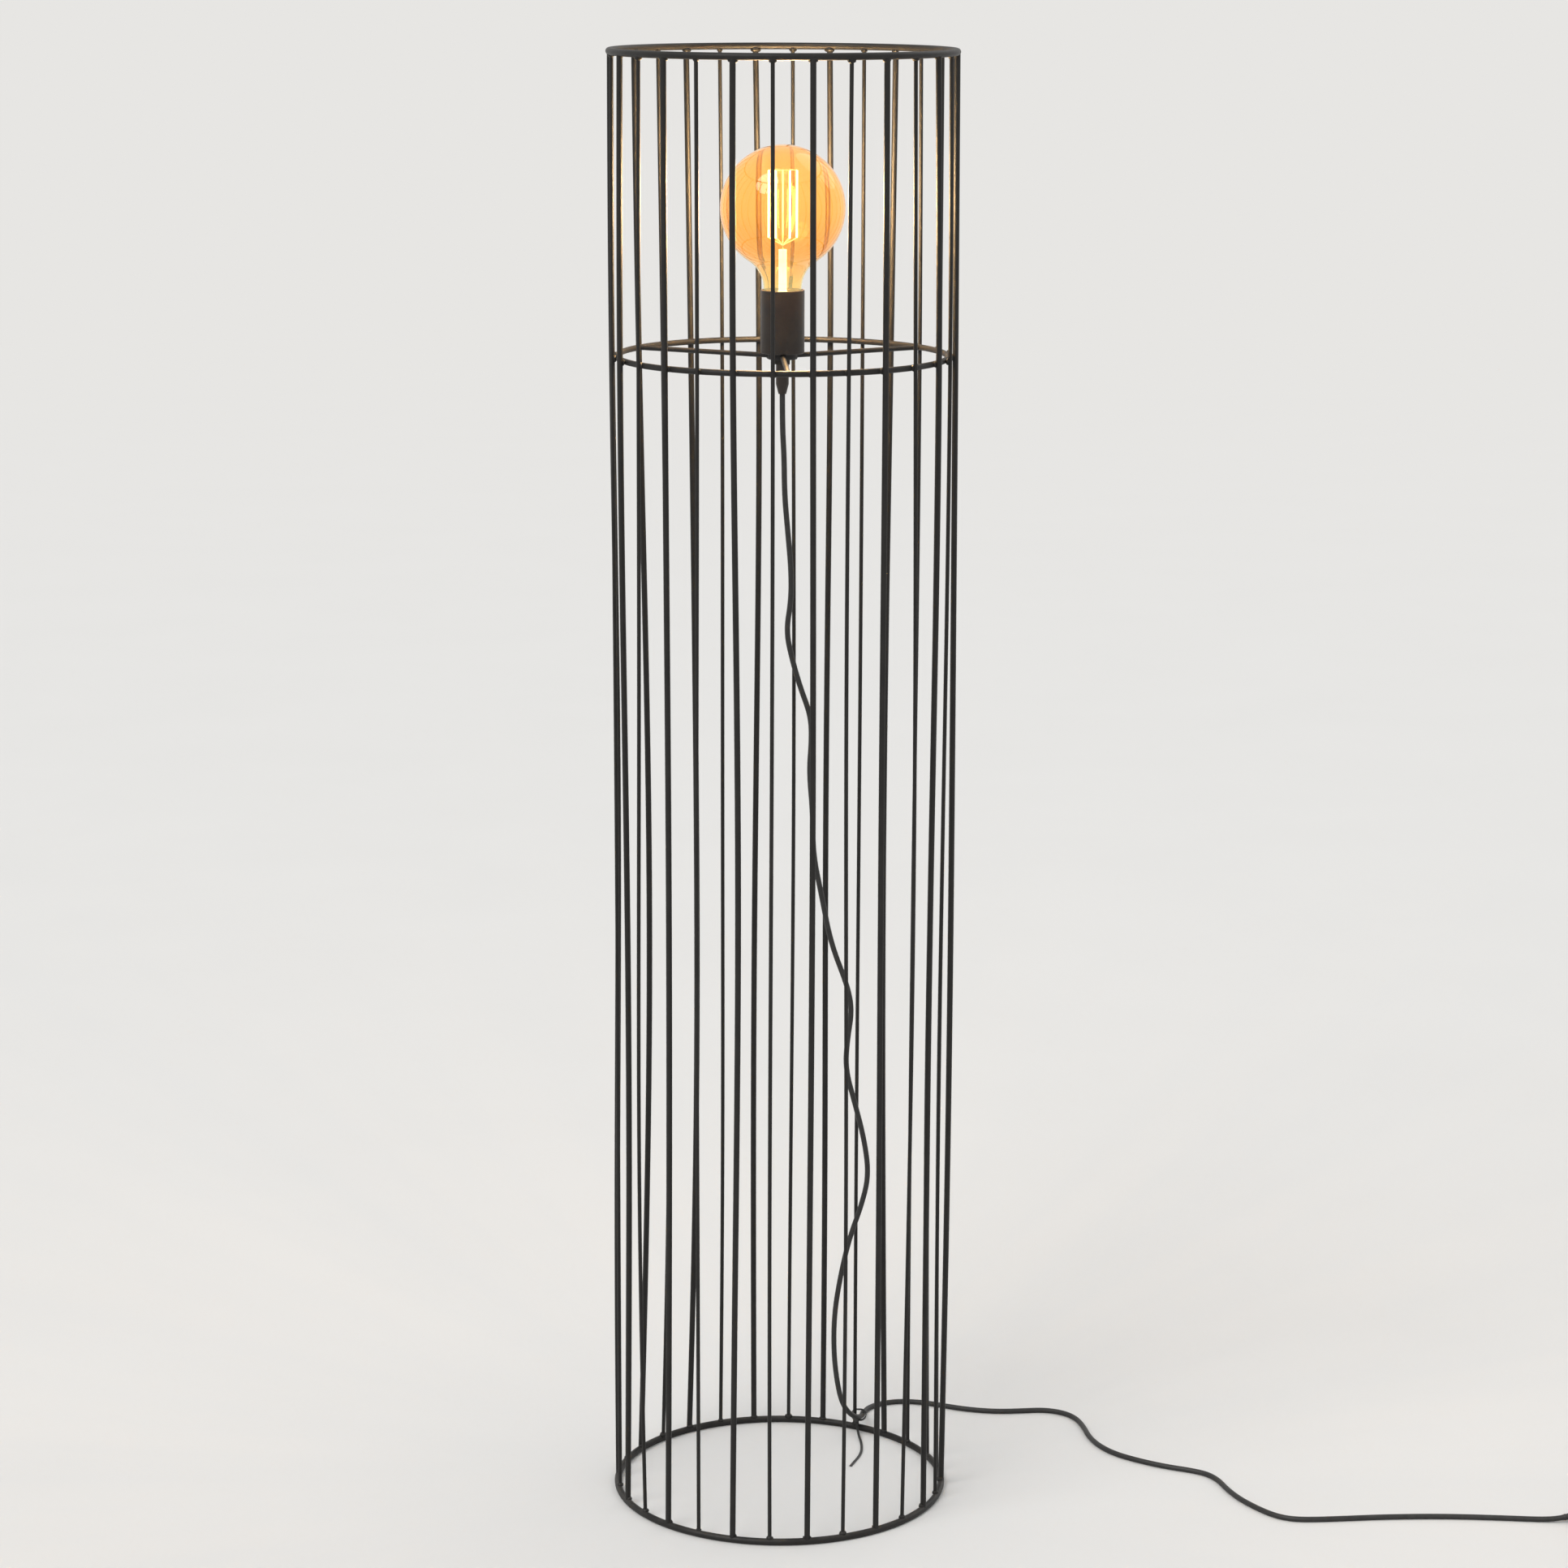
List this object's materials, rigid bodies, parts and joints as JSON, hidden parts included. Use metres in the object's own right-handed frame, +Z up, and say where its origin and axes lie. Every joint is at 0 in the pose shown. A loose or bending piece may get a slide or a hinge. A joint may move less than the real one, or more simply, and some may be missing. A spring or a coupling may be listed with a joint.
{
  "type": "floor lamp",
  "caption": "Cylindrical wire cage floor lamp with a globe bulb on a screw lampholder, and a mains cord with foot switch and plug.",
  "frame": {"origin": "on the floor, at the axis of the cage", "axes": "+Z up along the cage's axis, -Y towards the viewer of the picture, +X to the viewer's right, where the cord runs"},
  "size_m": [1.1383, 0.4693, 1.5],
  "materials": {
    "black_wire": "matte black powder coat",
    "black_plastic": "satin moulded",
    "porcelain": "glazed",
    "zinc_steel": "zinc plated",
    "black_steel": "black oxide",
    "brass": "rolled sheet",
    "nickel": "nickel plated",
    "solder": "dull solder",
    "amber_glass": "clear tinted",
    "clear_glass": "clear",
    "black_glass": "gloss",
    "filament": "glowing",
    "cord_sheath": "smooth matt sheath",
    "tie_nylon": "satin"
  },
  "bodies": {
    "lamp": {"top_ring": "black_wire", "middle_ring": "black_wire", "base_ring": "black_wire", "thick_rod_01": "black_wire", "thin_rod_01": "black_wire", "thick_rod_02": "black_wire", "thin_rod_02": "black_wire", "thick_rod_03": "black_wire", "thin_rod_03": "black_wire", "thick_rod_04": "black_wire", "thin_rod_04": "black_wire", "thick_rod_05": "black_wire", "thin_rod_05": "black_wire", "thick_rod_06": "black_wire", "thin_rod_06": "black_wire", "thick_rod_07": "black_wire", "thin_rod_07": "black_wire", "thick_rod_08": "black_wire", "thin_rod_08": "black_wire", "thick_rod_09": "black_wire", "thin_rod_09": "black_wire", "thick_rod_10": "black_wire", "thin_rod_10": "black_wire", "thick_rod_11": "black_wire", "thin_rod_11": "black_wire", "thick_rod_12": "black_wire", "thin_rod_12": "black_wire", "thick_rod_13": "black_wire", "thin_rod_13": "black_wire", "thick_rod_14": "black_wire", "thin_rod_14": "black_wire", "spider_arms": "black_wire", "spider_hub": "black_wire", "threaded_nipple": "black_steel", "lock_nut": "black_steel", "cord_grip": "black_plastic", "holder_dome": "black_plastic", "holder_skirt": "black_plastic", "holder_insulator": "porcelain", "terminal_screws": "zinc_steel", "holder_screw_shell": "brass", "holder_centre_contact": "brass", "lamp_cord": "cord_sheath", "coil_lead": "cord_sheath", "cord_coil": "cord_sheath", "plug_lead": "cord_sheath", "cord_tie": "tie_nylon", "switch_base": "black_plastic", "switch_cover": "black_plastic", "switch_spring": "zinc_steel", "plug_body": "cord_sheath", "plug_pins": "nickel"},
    "bulb_carriage": {"cap_contact": "solder"},
    "bulb": {"bulb_globe": "amber_glass", "bulb_stem": "clear_glass", "bulb_filaments": "filament", "filament_supports": "zinc_steel", "bulb_cap": "nickel", "cap_insulator": "black_glass"},
    "switch_button": {"switch_button": "black_plastic"}
  },
  "joints": [
    {"name": "bulb_lift", "type": "slide", "parent": "lamp", "child": "bulb_carriage", "axis": [0, 0, 1], "range_m": [0, 0.01452]},
    {"name": "bulb_turn", "type": "hinge", "parent": "bulb_carriage", "child": "bulb", "pos_m": [0, 0, 1.24], "axis": [0, 0, 1], "range_deg": [0, 1440]},
    {"name": "switch_press", "type": "slide", "parent": "lamp", "child": "switch_button", "axis": [0, 0, -1], "range_m": [0, 0.003], "stiffness_N_per_m": 600, "springref_m": -0.003, "deforming": ["switch_spring"]}
  ],
  "couplings": [
    {"joint": "bulb_lift", "follows": "bulb_turn", "m_per_rad": 0.00057757}
  ]
}
